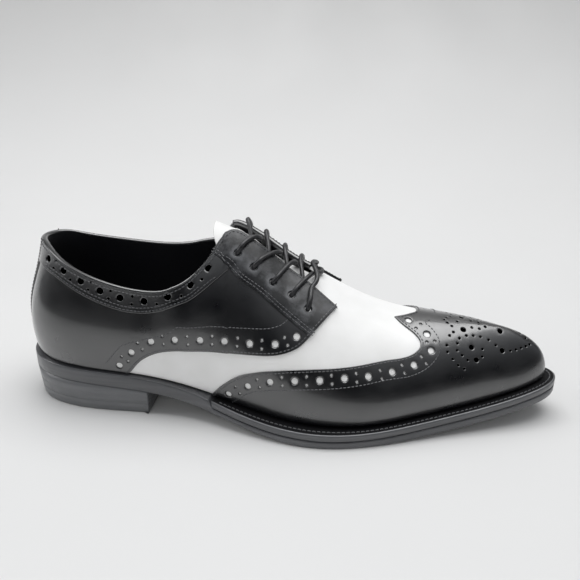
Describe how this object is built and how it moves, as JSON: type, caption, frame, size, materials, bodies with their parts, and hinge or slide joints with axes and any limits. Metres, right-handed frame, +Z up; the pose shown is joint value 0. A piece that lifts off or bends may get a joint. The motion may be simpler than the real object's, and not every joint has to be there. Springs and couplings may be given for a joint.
{
  "type": "spectator shoe",
  "caption": "Right-foot black and white derby dress shoe with a winged toe cap, collar bands, laced facings, a welted sole and a low heel.",
  "frame": {"origin": "on the floor under the middle of the heel", "axes": "+X to the toe, +Y to the medial side, +Z up"},
  "size_m": [0.3056, 0.1068, 0.1069],
  "materials": {
    "sole_black": "black edge dressing, satin",
    "heel_black": "satin",
    "lining_black": "matte",
    "white_leather": "smooth, semi-gloss",
    "black_leather": "polished",
    "grey_leather": "waxed, dull",
    "lace_black": "waxed round cord"
  },
  "bodies": {
    "root": {"outsole": "sole_black", "welt": "sole_black", "heel": "heel_black", "insole": "lining_black", "upper": "white_leather", "wing_cap": "black_leather", "quarter_lateral": "black_leather", "quarter_medial": "black_leather", "eyestay_lateral": "grey_leather", "eyestay_medial": "grey_leather", "collar_band_lateral": "black_leather", "collar_band_medial": "black_leather", "backstay": "black_leather", "tongue": "white_leather", "lace_crossing_1": "lace_black", "lace_crossing_2": "lace_black", "lace_crossing_3": "lace_black", "lace_crossing_4": "lace_black", "lace_bar": "lace_black"}
  },
  "joints": []
}
